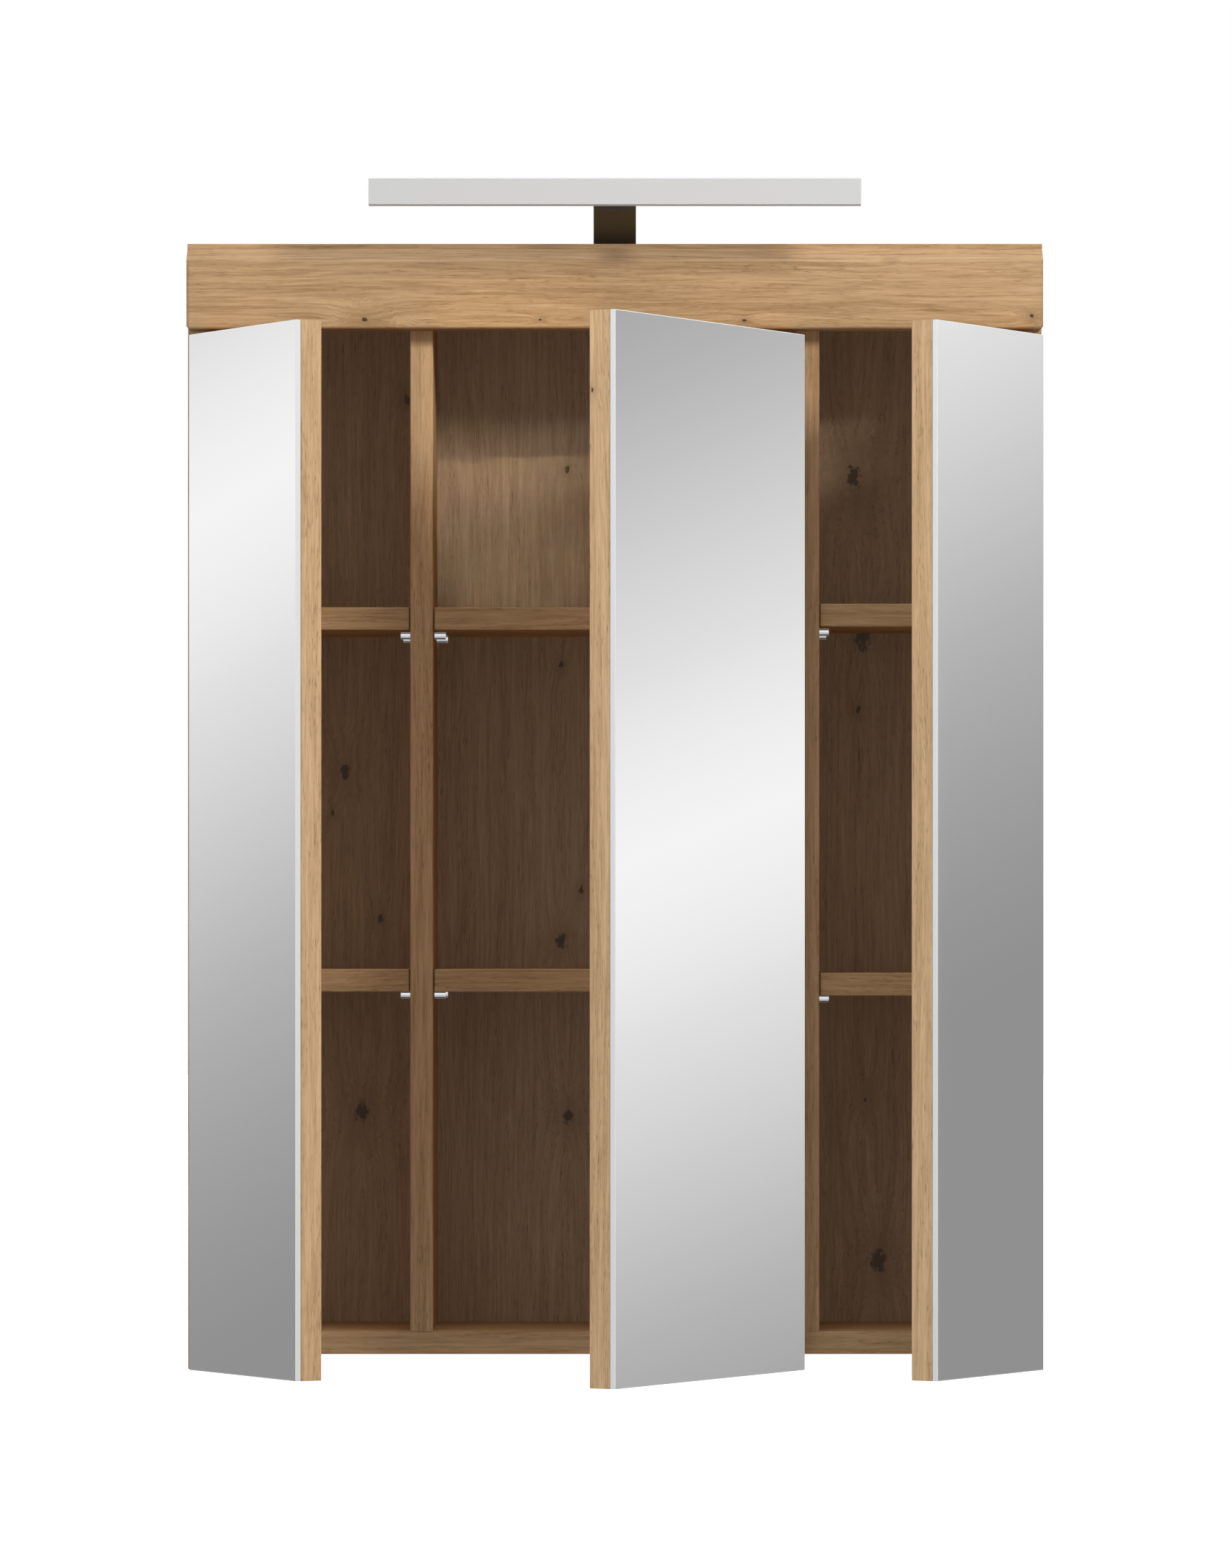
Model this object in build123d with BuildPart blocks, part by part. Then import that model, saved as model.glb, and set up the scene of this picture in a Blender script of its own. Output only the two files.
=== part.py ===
"""Wall mirror cabinet: three mirrored doors, three columns of shelves, a cornice and a bar lamp.

The frame: +Z is up, +Y points into the wall and +X to the right as one faces the cabinet. The
origin is the centre of the top panel's rear edge, which lies on the wall. Heights below are
first given from the lower end of the side panels and then shifted by floor_z.
"""

import os
from build123d import *

os.makedirs("parts", exist_ok=True)

# Overall sizes
width = 600.0
height = 790.0
depth = 172.0
board = 16.0
floor_z = board / 2 - height
soft_edge = 0.6

# Doors
door_height = 726.0
mirror_glass = 3.8
tape = 0.4
tape_inset = 1.2
mirror_bevel = 0.5
door_thickness = mirror_glass + tape + board
door_gap = 2.5
left_door_edge = -298.7
left_door_width = 161.2
middle_door_edge = 133.4
middle_door_width = 266.4
right_door_edge = 300.8
right_door_width = 160.4
door_opening = 60.0

# Carcass
carcass_depth = depth - door_thickness - door_gap
divider_x = 135.8
bottom_panel_z = 10.5
back_panel = 3.0
back_recess = 9.0
groove_depth = 6.0
groove_play = 0.1
back_panel_end_play = 0.5
shelf_setback = 4.6
shelf_end_gap = 1.0
shelf_back_gap = 1.0
outer_shelf_heights = (265.0, 519.5)
right_shelf_heights = (262.3, 522.0)

# Shelf pins
pin_radius = 2.5
pin_show = 8.0
pin_seat = 7.0
pin_play = 0.05
pin_front_setback = 50.0
pin_rear_setback = 20.0
pin_edge = 0.4

# Cornice
cornice_z = 729.5
cornice_land_depth = 156.5
cornice_land = 3.6
cornice_slope = 10.1
cornice_foot_round = 2.0
cornice_corner = 1.8

# Carcass fittings
cam_radius = 7.5
cam_depth = 12.5
cam_inset = 24.0
cam_bolt_radius = 3.0
cam_bolt_grip = 10.0
cam_recess = (8.0, 1.2, 1.5)
dowel_radius = 4.0
dowel_length = 30.0
fitting_rows = (-120.0, -40.0)
dowel_row_shift = 22.0
divider_screw_radius = 2.4
divider_screw_head = 4.8
divider_screw_length = 46.0
divider_screw_head_height = 3.0
divider_screw_socket = 1.8
fit_play = 0.05
end_play = 0.2
cornice_dowel_z = 748.0

# Wall hangers
hanger_thickness = 2.0
hanger_outer_x = 296.0
hanger_leg = 46.0
hanger_drop = 58.0
hanger_top_z = 786.0
keyhole_x = 266.0
keyhole_z = 752.0
keyhole_radius = 5.0
keyhole_slot_radius = 2.5
keyhole_slot_rise = 9.0
hanger_foot = 20.0
hanger_screw_radius = 1.6
hanger_screw_head = 2.6
hanger_screw_head_height = 1.0
hanger_screw_length = 10.0
hanger_screw_inset = (9.0, 8.0, 4.3)

# Hinges, in each door's own plan: x inward from the hinge edge, y back from the mirror face
hinge_offset = 90.0
cup_centre_x = 17.6
cup_radius = 13.0
cup_depth = 10.5
cup_floor = 0.5
cup_slot_gap = 1.0
cup_end_wall = 2.0
cup_play = 0.1
flange_thickness = 0.8
flange_radius = 14.5
wing_reach = 24.0
wing_width = 12.0
wing_screw_z = 19.0
slot_half = 6.5
cup_pin = (11.0, 13.0)
arm_pin = (28.5, 28.5)
crank_knee = (22.5, 12.0)
crank_neck = (26.4, 20.4)
crank_bend = 3.0
link_half = 6.0
link_thickness = 1.6
cup_eye_radius = 2.4
arm_eye_radius = 2.9
cup_pin_radius = 1.25
cup_pin_half = 8.6
arm_pin_radius = 1.5
arm_pin_half = 8.4
pivot_play = 0.06
link_ratio = 0.3

arm_wall = 1.6
arm_half_inside = 6.4
ear_reach = 3.2
web_start = 4.0
arm_tail_y = 62.0
plate_thickness = 2.0
plate_y = (36.0, 56.0)
plate_half = 22.0
plate_screw_z = 16.0
plate_block_y = (34.0, 60.0)
plate_block_play = 0.1
wood_screw_radius = 1.75
wood_screw_head = 3.4
wood_screw_head_height = 1.6
wood_screw_length = 11.0
screw_recess = (4.2, 0.9, 0.8)
clamp_screw_y = 48.0
clamp_screw_radius = 2.2
clamp_screw_head = 3.8
clamp_screw_head_height = 2.0
clamp_screw_grip = 6.0
clamp_recess = (5.0, 1.0, 1.0)
plate_relief = 0.4
ear_relief = 3.0

# Lamp
lamp_length = 340.0
lamp_z = (809.3, 827.5)
lamp_front = 250.0
lamp_depth = 14.0
lamp_wall = 1.2
lamp_cap = 1.5
lamp_soft_edge = 0.8
diffuser_thickness = 1.6
led_width = 8.0
led_thickness = 1.4
led_chip = 3.0
led_chip_height = 0.8
led_pitch = 10.0
led_count = 32
led_end_gap = 8.0
diffuser_inset = 0.3
neck_width = 29.9
neck_front = 140.0
neck_depth = 12.0
neck_top_z = 816.0
neck_corner = 1.6
collar_top_z = 818.2
foot_length = 52.0
foot_thickness = 2.5
foot_screw_y = (-118.0, -98.0)
arm_bar_width = 22.0
arm_bar_thickness = 3.6
arm_bar_screw_x = 6.0
arm_bar_screw_radius = 1.25
arm_bar_screw_head = 2.2
arm_bar_screw_head_height = 1.2
arm_bar_edge = 0.4
gland_radius = 4.0
gland_tip_radius = 3.0
gland_bore = 2.0
gland_length = 14.0
gland_floor = 1.0
gland_z = 801.0

# Places that follow from the sizes above
half_width = width / 2
side_inner_x = half_width - board
divider_inner_x = divider_x - board / 2
divider_outer_x = divider_x + board / 2
top_panel_z = height - board
door_centre_z = door_height / 2
hinge_heights = (-(door_height / 2 - hinge_offset), door_height / 2 - hinge_offset)
back_panel_span = (-back_recess - back_panel, -back_recess)
pin_rows = (-carcass_depth + pin_front_setback, back_panel_span[0] - pin_rear_setback)
link_opening = door_opening * link_ratio


def block(x_span, y_span, z_span, mode=Mode.ADD):
    """Add a box, given by its limits, to the part being built."""
    spans = (x_span, y_span, z_span)
    with Locations(tuple((low + high) / 2 for low, high in spans)):
        Box(*(high - low for low, high in spans), mode=mode)


def rod(start, direction, radius, length, mode=Mode.ADD):
    """Add a round bar that starts at a point and runs along a direction."""
    with Locations(Plane(origin=start, z_dir=direction)):
        Cylinder(radius, length, align=(Align.CENTER, Align.CENTER, Align.MIN), mode=mode)


def cross_recess(centre, direction, recess):
    """Cut a cross into a screw or cam head: recess gives its reach, slot width and depth."""
    reach, slot, deep = recess
    with Locations(Plane(origin=centre, z_dir=direction)):
        Box(reach, slot, 2 * deep, mode=Mode.SUBTRACT)
        Box(slot, reach, 2 * deep, mode=Mode.SUBTRACT)


def rise(z_span):
    """Heights above the cabinet's lower end, as heights in the model's frame."""
    return tuple(z + floor_z for z in z_span)


def save(builder, name):
    """Label a finished piece and write its file."""
    builder.part.label = name
    export_step(builder.part, f"parts/{name}.step")


def soften(builder, axis):
    """Break the two long edges, parallel to an axis, on the front face of a board."""
    front_face = builder.faces().sort_by(Axis.Y)[0]
    chamfer(front_face.edges().filter_by(axis), soft_edge)


# Each column: its two inner faces and the heights of its shelves' undersides
columns = {
    "left": (-side_inner_x, -divider_outer_x, outer_shelf_heights),
    "middle": (-divider_inner_x, divider_inner_x, outer_shelf_heights),
    "right": (divider_outer_x, side_inner_x, right_shelf_heights),
}


def pin_seats(faces):
    """Drill the shelf pin seats: faces lists (x of the face, inward direction, shelf heights)."""
    for x, direction, shelf_heights in faces:
        for shelf_z in shelf_heights:
            for y in pin_rows:
                start = (x, y, shelf_z - pin_radius + floor_z)
                rod(start, (direction, 0, 0), pin_radius + pin_play, pin_seat + pin_play,
                    mode=Mode.SUBTRACT)


def fitting_holes(side):
    """Drill one side panel for the bolts and dowels at the ends of the top and bottom panels."""
    for z in (bottom_panel_z + board / 2, top_panel_z + board / 2):
        for y in fitting_rows:
            start = (side * side_inner_x, y, z + floor_z)
            rod(start, (side, 0, 0), cam_bolt_radius, cam_bolt_grip, mode=Mode.SUBTRACT)
            start = (side * side_inner_x, y + dowel_row_shift, z + floor_z)
            rod(start, (side, 0, 0), dowel_radius, dowel_length / 3, mode=Mode.SUBTRACT)


def cornice_dowel_holes(x_places):
    """Drill the carcass front edge for the cornice dowels."""
    for x in x_places:
        start = (x, -carcass_depth, cornice_dowel_z + floor_z)
        rod(start, (0, 1, 0), dowel_radius, dowel_length / 2, mode=Mode.SUBTRACT)


groove_y = (back_panel_span[0] - groove_play, back_panel_span[1] + groove_play)

# The side panels, with the back panel's groove, the hanger's rebate and the pin seats
for name, side in (("left", -1), ("right", 1)):
    low_x, high_x = sorted((side * side_inner_x, side * half_width))
    with BuildPart() as side_panel:
        block((low_x, high_x), (-carcass_depth, 0), rise((0, height)))
        soften(side_panel, Axis.Z)
        groove_x = sorted((side * side_inner_x, side * (side_inner_x + groove_depth)))
        groove_z = rise((bottom_panel_z + board - groove_depth, top_panel_z + groove_depth))
        block(groove_x, groove_y, groove_z, mode=Mode.SUBTRACT)
        rebate_x = sorted((side * side_inner_x, side * hanger_outer_x))
        rebate_z = rise((hanger_top_z - hanger_drop, hanger_top_z))
        block(rebate_x, (-hanger_thickness, 0), rebate_z, mode=Mode.SUBTRACT)
        pin_seats([(side * side_inner_x, side, columns[name][2])])
        fitting_holes(side)
        cornice_dowel_holes([side * (half_width - board / 2)])
    save(side_panel, f"{name}_side_panel")

# The dividers between the columns
for name, side in (("left", -1), ("right", 1)):
    centre_x = side * divider_x
    with BuildPart() as divider:
        block((centre_x - board / 2, centre_x + board / 2),
              (-carcass_depth, back_panel_span[0] - groove_play),
              rise((bottom_panel_z + board, top_panel_z)))
        soften(divider, Axis.Z)
        pin_seats([(side * divider_outer_x, -side, columns[name][2]),
                   (side * divider_inner_x, side, columns["middle"][2])])
        cornice_dowel_holes([centre_x])
        for z, direction in ((bottom_panel_z + board, 1), (top_panel_z, -1)):
            for y in fitting_rows:
                rod((centre_x, y, z + floor_z), (0, 0, direction), divider_screw_radius,
                    divider_screw_length - board, mode=Mode.SUBTRACT)
    save(divider, f"{name}_divider")


def end_fittings(outer_z, inward):
    """Bore a top or bottom panel for its cams, bolts, dowels and divider screws.

    outer_z is the face that the cams are let into, and inward is the way in from it.
    """
    centre_z = outer_z + inward * board / 2
    for side in (-1, 1):
        for y in fitting_rows:
            rod((side * (side_inner_x - cam_inset), y, outer_z + floor_z), (0, 0, inward),
                cam_radius, cam_depth, mode=Mode.SUBTRACT)
            rod((side * side_inner_x, y, centre_z + floor_z), (-side, 0, 0), cam_bolt_radius,
                cam_inset, mode=Mode.SUBTRACT)
            rod((side * side_inner_x, y + dowel_row_shift, centre_z + floor_z), (-side, 0, 0),
                dowel_radius, dowel_length * 2 / 3, mode=Mode.SUBTRACT)
            rod((side * divider_x, y, outer_z + floor_z), (0, 0, inward), divider_screw_radius,
                board, mode=Mode.SUBTRACT)
            rod((side * divider_x, y, outer_z + floor_z), (0, 0, inward), divider_screw_head,
                divider_screw_head_height, mode=Mode.SUBTRACT)


# The top panel, whose rear edge holds the origin
with BuildPart() as top_panel:
    block((-side_inner_x, side_inner_x), (-carcass_depth, 0), rise((top_panel_z, height)))
    block((-side_inner_x, side_inner_x), groove_y, rise((top_panel_z, top_panel_z + groove_depth)),
          mode=Mode.SUBTRACT)
    for side in (-1, 1):
        rebate_x = sorted((side * (hanger_outer_x - hanger_leg), side * side_inner_x))
        block(rebate_x, (-hanger_thickness, 0), rise((top_panel_z, hanger_top_z)),
              mode=Mode.SUBTRACT)
    end_fittings(height, -1)
save(top_panel, "top_panel")

# The bottom panel, set up from the ends of the sides as a finger grip
with BuildPart() as bottom_panel:
    block((-side_inner_x, side_inner_x), (-carcass_depth, 0),
          rise((bottom_panel_z, bottom_panel_z + board)))
    soften(bottom_panel, Axis.X)
    block((-side_inner_x, side_inner_x), groove_y,
          rise((bottom_panel_z + board - groove_depth, bottom_panel_z + board)),
          mode=Mode.SUBTRACT)
    end_fittings(bottom_panel_z, 1)
save(bottom_panel, "bottom_panel")

# The thin back panel in the groove of the four outer panels
with BuildPart() as back:
    reach = groove_depth - back_panel_end_play
    block((-side_inner_x - reach, side_inner_x + reach), back_panel_span,
          rise((bottom_panel_z + board - reach, top_panel_z + reach)))
save(back, "back_panel")

# The cornice board across the front, flush with the closed mirrors
with BuildPart() as cornice:
    low, high = rise((cornice_z, height))
    slope_foot = high - cornice_land - cornice_slope
    with BuildSketch(Plane.YZ.offset(-half_width)):
        with BuildLine():
            Polyline((-carcass_depth, low), (-depth, low), (-depth, slope_foot),
                     (-cornice_land_depth, high - cornice_land), (-cornice_land_depth, high),
                     (-carcass_depth, high), close=True)
        make_face()
    extrude(amount=width)
    front = cornice.faces().sort_by(Axis.Y)[0]
    fillet(front.edges().filter_by(Axis.X).sort_by(Axis.Z)[0], cornice_foot_round)
    front = cornice.faces().sort_by(Axis.Y)[0]
    chamfer(front.edges().filter_by(Axis.Z), cornice_corner)
    dowel_places = (-half_width + board / 2, -divider_x, divider_x, half_width - board / 2)
    for x in dowel_places:
        rod((x, -carcass_depth, cornice_dowel_z + floor_z), (0, -1, 0), dowel_radius,
            dowel_length / 2, mode=Mode.SUBTRACT)
save(cornice, "cornice_board")

# Two loose shelves in each column
for name, (low_x, high_x, shelf_heights) in columns.items():
    for level, shelf_z in zip(("lower", "upper"), shelf_heights):
        with BuildPart() as shelf:
            block((low_x + shelf_end_gap, high_x - shelf_end_gap),
                  (-carcass_depth + shelf_setback, back_panel_span[0] - shelf_back_gap),
                  rise((shelf_z, shelf_z + board)))
            soften(shelf, Axis.X)
        save(shelf, f"{name}_{level}_shelf")

# Four pins under each shelf, eight to a column
for name, (low_x, high_x, shelf_heights) in columns.items():
    with BuildPart() as pins:
        for shelf_z in shelf_heights:
            for y in pin_rows:
                for x, direction in ((low_x, 1), (high_x, -1)):
                    start = (x - direction * pin_seat, y, shelf_z - pin_radius + floor_z)
                    rod(start, (direction, 0, 0), pin_radius, pin_seat + pin_show)
        tips = pins.edges().filter_by(GeomType.CIRCLE)
        chamfer(tips, pin_edge)
    save(pins, f"{name}_shelf_pins")

# Hidden carcass fittings: cams, their bolts, dowels and the divider screws
panel_fits = ((height, -1), (bottom_panel_z, 1))
with BuildPart() as cams:
    for outer_z, inward in panel_fits:
        for side in (-1, 1):
            for y in fitting_rows:
                centre = (side * (side_inner_x - cam_inset), y, outer_z + floor_z)
                rod(centre, (0, 0, inward), cam_radius - fit_play, cam_depth - fit_play)
                cross_recess(centre, (0, 0, inward), cam_recess)
                bolt_z = outer_z + inward * board / 2 + floor_z
                rod((side * side_inner_x, y, bolt_z), (-side, 0, 0), cam_bolt_radius,
                    cam_inset - cam_bolt_radius, mode=Mode.SUBTRACT)
save(cams, "cam_locks")

with BuildPart() as cam_bolts:
    for outer_z, inward in panel_fits:
        for side in (-1, 1):
            for y in fitting_rows:
                start = (side * (side_inner_x + cam_bolt_grip - end_play), y,
                         outer_z + inward * board / 2 + floor_z)
                rod(start, (-side, 0, 0), cam_bolt_radius - fit_play,
                    cam_inset - cam_bolt_radius + cam_bolt_grip - 2 * end_play)
save(cam_bolts, "cam_bolts")

with BuildPart() as dowels:
    for outer_z, inward in panel_fits:
        for side in (-1, 1):
            for y in fitting_rows:
                start = (side * (side_inner_x + dowel_length / 3 - end_play),
                         y + dowel_row_shift, outer_z + inward * board / 2 + floor_z)
                rod(start, (-side, 0, 0), dowel_radius - fit_play, dowel_length - 2 * end_play)
save(dowels, "wood_dowels")

with BuildPart() as divider_screws:
    for outer_z, inward in panel_fits:
        for side in (-1, 1):
            for y in fitting_rows:
                start = (side * divider_x, y, outer_z + floor_z)
                rod(start, (0, 0, inward), divider_screw_radius - fit_play,
                    divider_screw_length - end_play)
                rod(start, (0, 0, inward), divider_screw_head - fit_play,
                    divider_screw_head_height - fit_play)
                rod(start, (0, 0, inward), divider_screw_socket, divider_screw_head_height / 2,
                    mode=Mode.SUBTRACT)
save(divider_screws, "divider_screws")

with BuildPart() as cornice_dowels:
    for x in dowel_places:
        start = (x, -carcass_depth - dowel_length / 2 + end_play, cornice_dowel_z + floor_z)
        rod(start, (0, 1, 0), dowel_radius - fit_play, dowel_length - 2 * end_play)
save(cornice_dowels, "cornice_dowels")


def hanger_screw_places(side):
    """Points on the rear face where one hanger's two screws enter the wood."""
    from_side, from_end, from_top = hanger_screw_inset
    return ((side * (side_inner_x + from_side), 0,
             hanger_top_z - hanger_drop + from_end + floor_z),
            (side * (hanger_outer_x - hanger_leg + from_end), 0,
             hanger_top_z - from_top + floor_z))


# Corner plates let into the rear edges, each with a keyhole for a wall screw
with BuildPart() as hangers:
    for side in (-1, 1):
        outer, inner = side * hanger_outer_x, side * (hanger_outer_x - hanger_leg)
        low, high = rise((hanger_top_z - hanger_drop, hanger_top_z))
        with BuildSketch(Plane.XZ):
            with BuildLine():
                Polyline((outer, low), (outer, high), (inner, high), (inner, high - hanger_foot),
                         (outer - side * hanger_foot, low), close=True)
            make_face()
            with Locations((side * keyhole_x, keyhole_z + floor_z)):
                Circle(keyhole_radius, mode=Mode.SUBTRACT)
            with Locations((side * keyhole_x, keyhole_z + keyhole_slot_rise / 2 + floor_z)):
                Rectangle(2 * keyhole_slot_radius, keyhole_slot_rise, mode=Mode.SUBTRACT)
            with Locations((side * keyhole_x, keyhole_z + keyhole_slot_rise + floor_z)):
                Circle(keyhole_slot_radius, mode=Mode.SUBTRACT)
            for x, _, z in hanger_screw_places(side):
                with Locations((x, z)):
                    Circle(hanger_screw_radius, mode=Mode.SUBTRACT)
        extrude(amount=hanger_thickness)
        for place in hanger_screw_places(side):
            rod(place, (0, -1, 0), hanger_screw_head + fit_play,
                hanger_screw_head_height + fit_play, mode=Mode.SUBTRACT)
save(hangers, "hanger_plates")

with BuildPart() as hanger_screws:
    for side in (-1, 1):
        for place in hanger_screw_places(side):
            rod(place, (0, -1, 0), hanger_screw_radius - fit_play, hanger_screw_length)
            rod(place, (0, -1, 0), hanger_screw_head, hanger_screw_head_height)
save(hanger_screws, "hanger_screws")


def turned_about(pin, angle):
    """Motion of a body that turns about an upright pin, as seen in a door's plan."""
    to_pin = Location((*pin, 0))
    return to_pin * Location((0, 0, 0), (0, 0, angle)) * to_pin.inverse()


class Door:
    """The planes and sizes of one door: closed, as the photograph shows it, and its links."""

    def __init__(self, edge_x, inward, wide, wall_x):
        """Place a door by its hinge edge, the way in from it and the wall that carries it."""
        self.wide = wide
        self.wall = abs(wall_x - edge_x)
        self.carcass = Plane(origin=(edge_x, -depth, door_centre_z + floor_z),
                             x_dir=(inward, 0, 0), z_dir=(0, 0, inward))
        link_motion = turned_about(arm_pin, link_opening)
        door_motion = link_motion * turned_about(cup_pin, -door_opening - link_opening)
        self.link = Plane(self.carcass.location * link_motion)
        self.door = Plane(self.carcass.location * door_motion)

    def edges_at(self, builder, depth_y):
        """The edges of a piece of this door that lie on one of its upright planes."""
        return builder.edges().filter_by(
            lambda edge: abs(self.door.to_local_coords(edge.center()).Y - depth_y) < fit_play)


doors = {
    "left": Door(left_door_edge, 1, left_door_width, -side_inner_x),
    "middle": Door(middle_door_edge, -1, middle_door_width, divider_inner_x),
    "right": Door(right_door_edge, -1, right_door_width, side_inner_x),
}
half_door = door_height / 2
back_face = door_thickness
wood_face = mirror_glass + tape
cup_bottom = back_face - cup_depth
screw_places = [(z + turn * wing_screw_z) for z in hinge_heights for turn in (-1, 1)]

for name, door in doors.items():
    # The door board with its two cup pockets
    with BuildPart(door.door) as panel:
        block((0, door.wide), (wood_face, back_face), (-half_door, half_door))
        chamfer(door.edges_at(panel, back_face), soft_edge)
        for z in hinge_heights:
            rod((cup_centre_x, back_face, z), (0, -1, 0), cup_radius, cup_depth,
                mode=Mode.SUBTRACT)
        for z in screw_places:
            rod((cup_centre_x, back_face, z), (0, -1, 0), wood_screw_radius,
                wood_screw_length, mode=Mode.SUBTRACT)
    save(panel, f"{name}_door_panel")

    # The bonding tape between glass and board
    with BuildPart(door.door) as bond:
        block((tape_inset, door.wide - tape_inset), (mirror_glass, wood_face),
              (-half_door + tape_inset, half_door - tape_inset))
    save(bond, f"{name}_mirror_tape")

    # The mirror that covers the whole front
    with BuildPart(door.door) as mirror_pane:
        block((0, door.wide), (0, mirror_glass), (-half_door, half_door))
        chamfer(door.edges_at(mirror_pane, 0), mirror_bevel)
    save(mirror_pane, f"{name}_mirror")

    # The two hinge cups: a slot for the link between two cheeks that hold the cup pin
    slot_x = (cup_pin[0] - cup_eye_radius - cup_slot_gap, cup_centre_x + cup_radius - cup_end_wall)
    slot_floor = cup_bottom + cup_play + cup_floor
    slot_top = back_face + flange_thickness
    with BuildPart(door.door) as cups:
        for z in hinge_heights:
            rod((cup_centre_x, cup_bottom + cup_play, z), (0, 1, 0), cup_radius - cup_play,
                cup_depth - cup_play)
            rod((cup_centre_x, back_face, z), (0, 1, 0), flange_radius, flange_thickness)
            block((cup_centre_x - wing_width / 2, cup_centre_x + wing_width / 2),
                  (back_face, back_face + flange_thickness), (z - wing_reach, z + wing_reach))
            slot_z = (z - slot_half, z + slot_half)
            block(slot_x, (slot_floor, slot_top), slot_z, mode=Mode.SUBTRACT)
            block((0, cup_centre_x), (cup_pin[1], slot_top), slot_z, mode=Mode.SUBTRACT)
            rod((*cup_pin, z - cup_pin_half - end_play), (0, 0, 1), cup_pin_radius + pivot_play,
                2 * (cup_pin_half + end_play), mode=Mode.SUBTRACT)
        for z in screw_places:
            rod((cup_centre_x, back_face, z), (0, 1, 0), wood_screw_radius, flange_thickness,
                mode=Mode.SUBTRACT)
    save(cups, f"{name}_hinge_cups")

    with BuildPart(door.door) as cup_screws:
        for z in screw_places:
            start = (cup_centre_x, back_face + flange_thickness, z)
            rod(start, (0, -1, 0), wood_screw_radius - fit_play, wood_screw_length)
            rod(start, (0, 1, 0), wood_screw_head, wood_screw_head_height)
            cross_recess((cup_centre_x, start[1] + wood_screw_head_height, z), (0, 1, 0),
                         screw_recess)
    save(cup_screws, f"{name}_cup_screws")

    # The cranked links, each with its two rivet pins
    with BuildPart(door.link) as links:
        for z in hinge_heights:
            with BuildSketch(door.link.offset(z - link_half)):
                with BuildLine():
                    FilletPolyline(cup_pin, crank_knee, crank_neck, arm_pin,
                                   radius=crank_bend)
                trace(line_width=link_thickness)
                with Locations(cup_pin):
                    Circle(cup_eye_radius)
                with Locations(arm_pin):
                    Circle(arm_eye_radius)
            extrude(amount=2 * link_half)
            rod((*cup_pin, z - cup_pin_half), (0, 0, 1), cup_pin_radius, 2 * cup_pin_half)
            rod((*arm_pin, z - arm_pin_half), (0, 0, 1), arm_pin_radius, 2 * arm_pin_half)
    save(links, f"{name}_hinge_links")

    # The arms: a channel over the mounting plate, with two ears for the arm pin
    web_outer = arm_pin[0] + ear_reach
    channel_half = arm_half_inside + arm_wall
    cheek_foot = door.wall + plate_thickness + plate_relief
    with BuildPart(door.carcass) as arms:
        for z in hinge_heights:
            for cheek in (-channel_half, arm_half_inside):
                with BuildSketch(door.carcass.offset(z + cheek)):
                    with BuildLine():
                        Polyline((arm_pin[0] - ear_reach, arm_pin[1]),
                                 (arm_pin[0] - ear_reach, plate_block_y[0]),
                                 (cheek_foot, plate_block_y[0] + ear_relief),
                                 (cheek_foot, arm_tail_y),
                                 (web_outer, arm_tail_y), (web_outer, arm_pin[1]), close=True)
                    make_face()
                    with Locations(arm_pin):
                        Circle(ear_reach)
                        Circle(arm_pin_radius + pivot_play, mode=Mode.SUBTRACT)
                extrude(amount=arm_wall)
            block((web_outer - arm_wall, web_outer), (arm_pin[1] + web_start, arm_tail_y),
                  (z - channel_half, z + channel_half))
            rod((web_outer - arm_wall, clamp_screw_y, z), (1, 0, 0), clamp_screw_radius,
                arm_wall, mode=Mode.SUBTRACT)
    save(arms, f"{name}_hinge_arms")

    # The mounting plates, each with the block that its arm is clamped to
    with BuildPart(door.carcass) as plates:
        for z in hinge_heights:
            block((door.wall, door.wall + plate_thickness), plate_y,
                  (z - plate_half, z + plate_half))
            block((door.wall + plate_thickness, web_outer - arm_wall), plate_block_y,
                  (z - arm_half_inside + plate_block_play, z + arm_half_inside - plate_block_play))
            rod((web_outer - arm_wall, clamp_screw_y, z), (-1, 0, 0), clamp_screw_radius,
                clamp_screw_grip + end_play, mode=Mode.SUBTRACT)
            for turn in (-1, 1):
                rod((door.wall, sum(plate_y) / 2, z + turn * plate_screw_z), (1, 0, 0),
                    wood_screw_radius, plate_thickness, mode=Mode.SUBTRACT)
    save(plates, f"{name}_hinge_plates")

# The wood screws of the mounting plates and the clamping screws of the arms
with BuildPart() as plate_screws:
    for door in doors.values():
        for hinge_z in hinge_heights:
            for turn in (-1, 1):
                start = Vector(door.wall + plate_thickness, sum(plate_y) / 2,
                               hinge_z + turn * plate_screw_z)
                head = door.carcass.from_local_coords(start)
                inward = door.carcass.x_dir
                rod(head, inward, wood_screw_head, wood_screw_head_height)
                rod(head, -inward, wood_screw_radius - fit_play, wood_screw_length)
                cross_recess(head + inward * wood_screw_head_height, inward, screw_recess)
            web_face = door.carcass.from_local_coords((arm_pin[0] + ear_reach, clamp_screw_y,
                                                       hinge_z))
            rod(web_face, inward, clamp_screw_head, clamp_screw_head_height)
            rod(web_face, -inward, clamp_screw_radius - fit_play, arm_wall + clamp_screw_grip)
            cross_recess(web_face + inward * clamp_screw_head_height, inward, clamp_recess)
save(plate_screws, "hinge_plate_screws")

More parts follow.
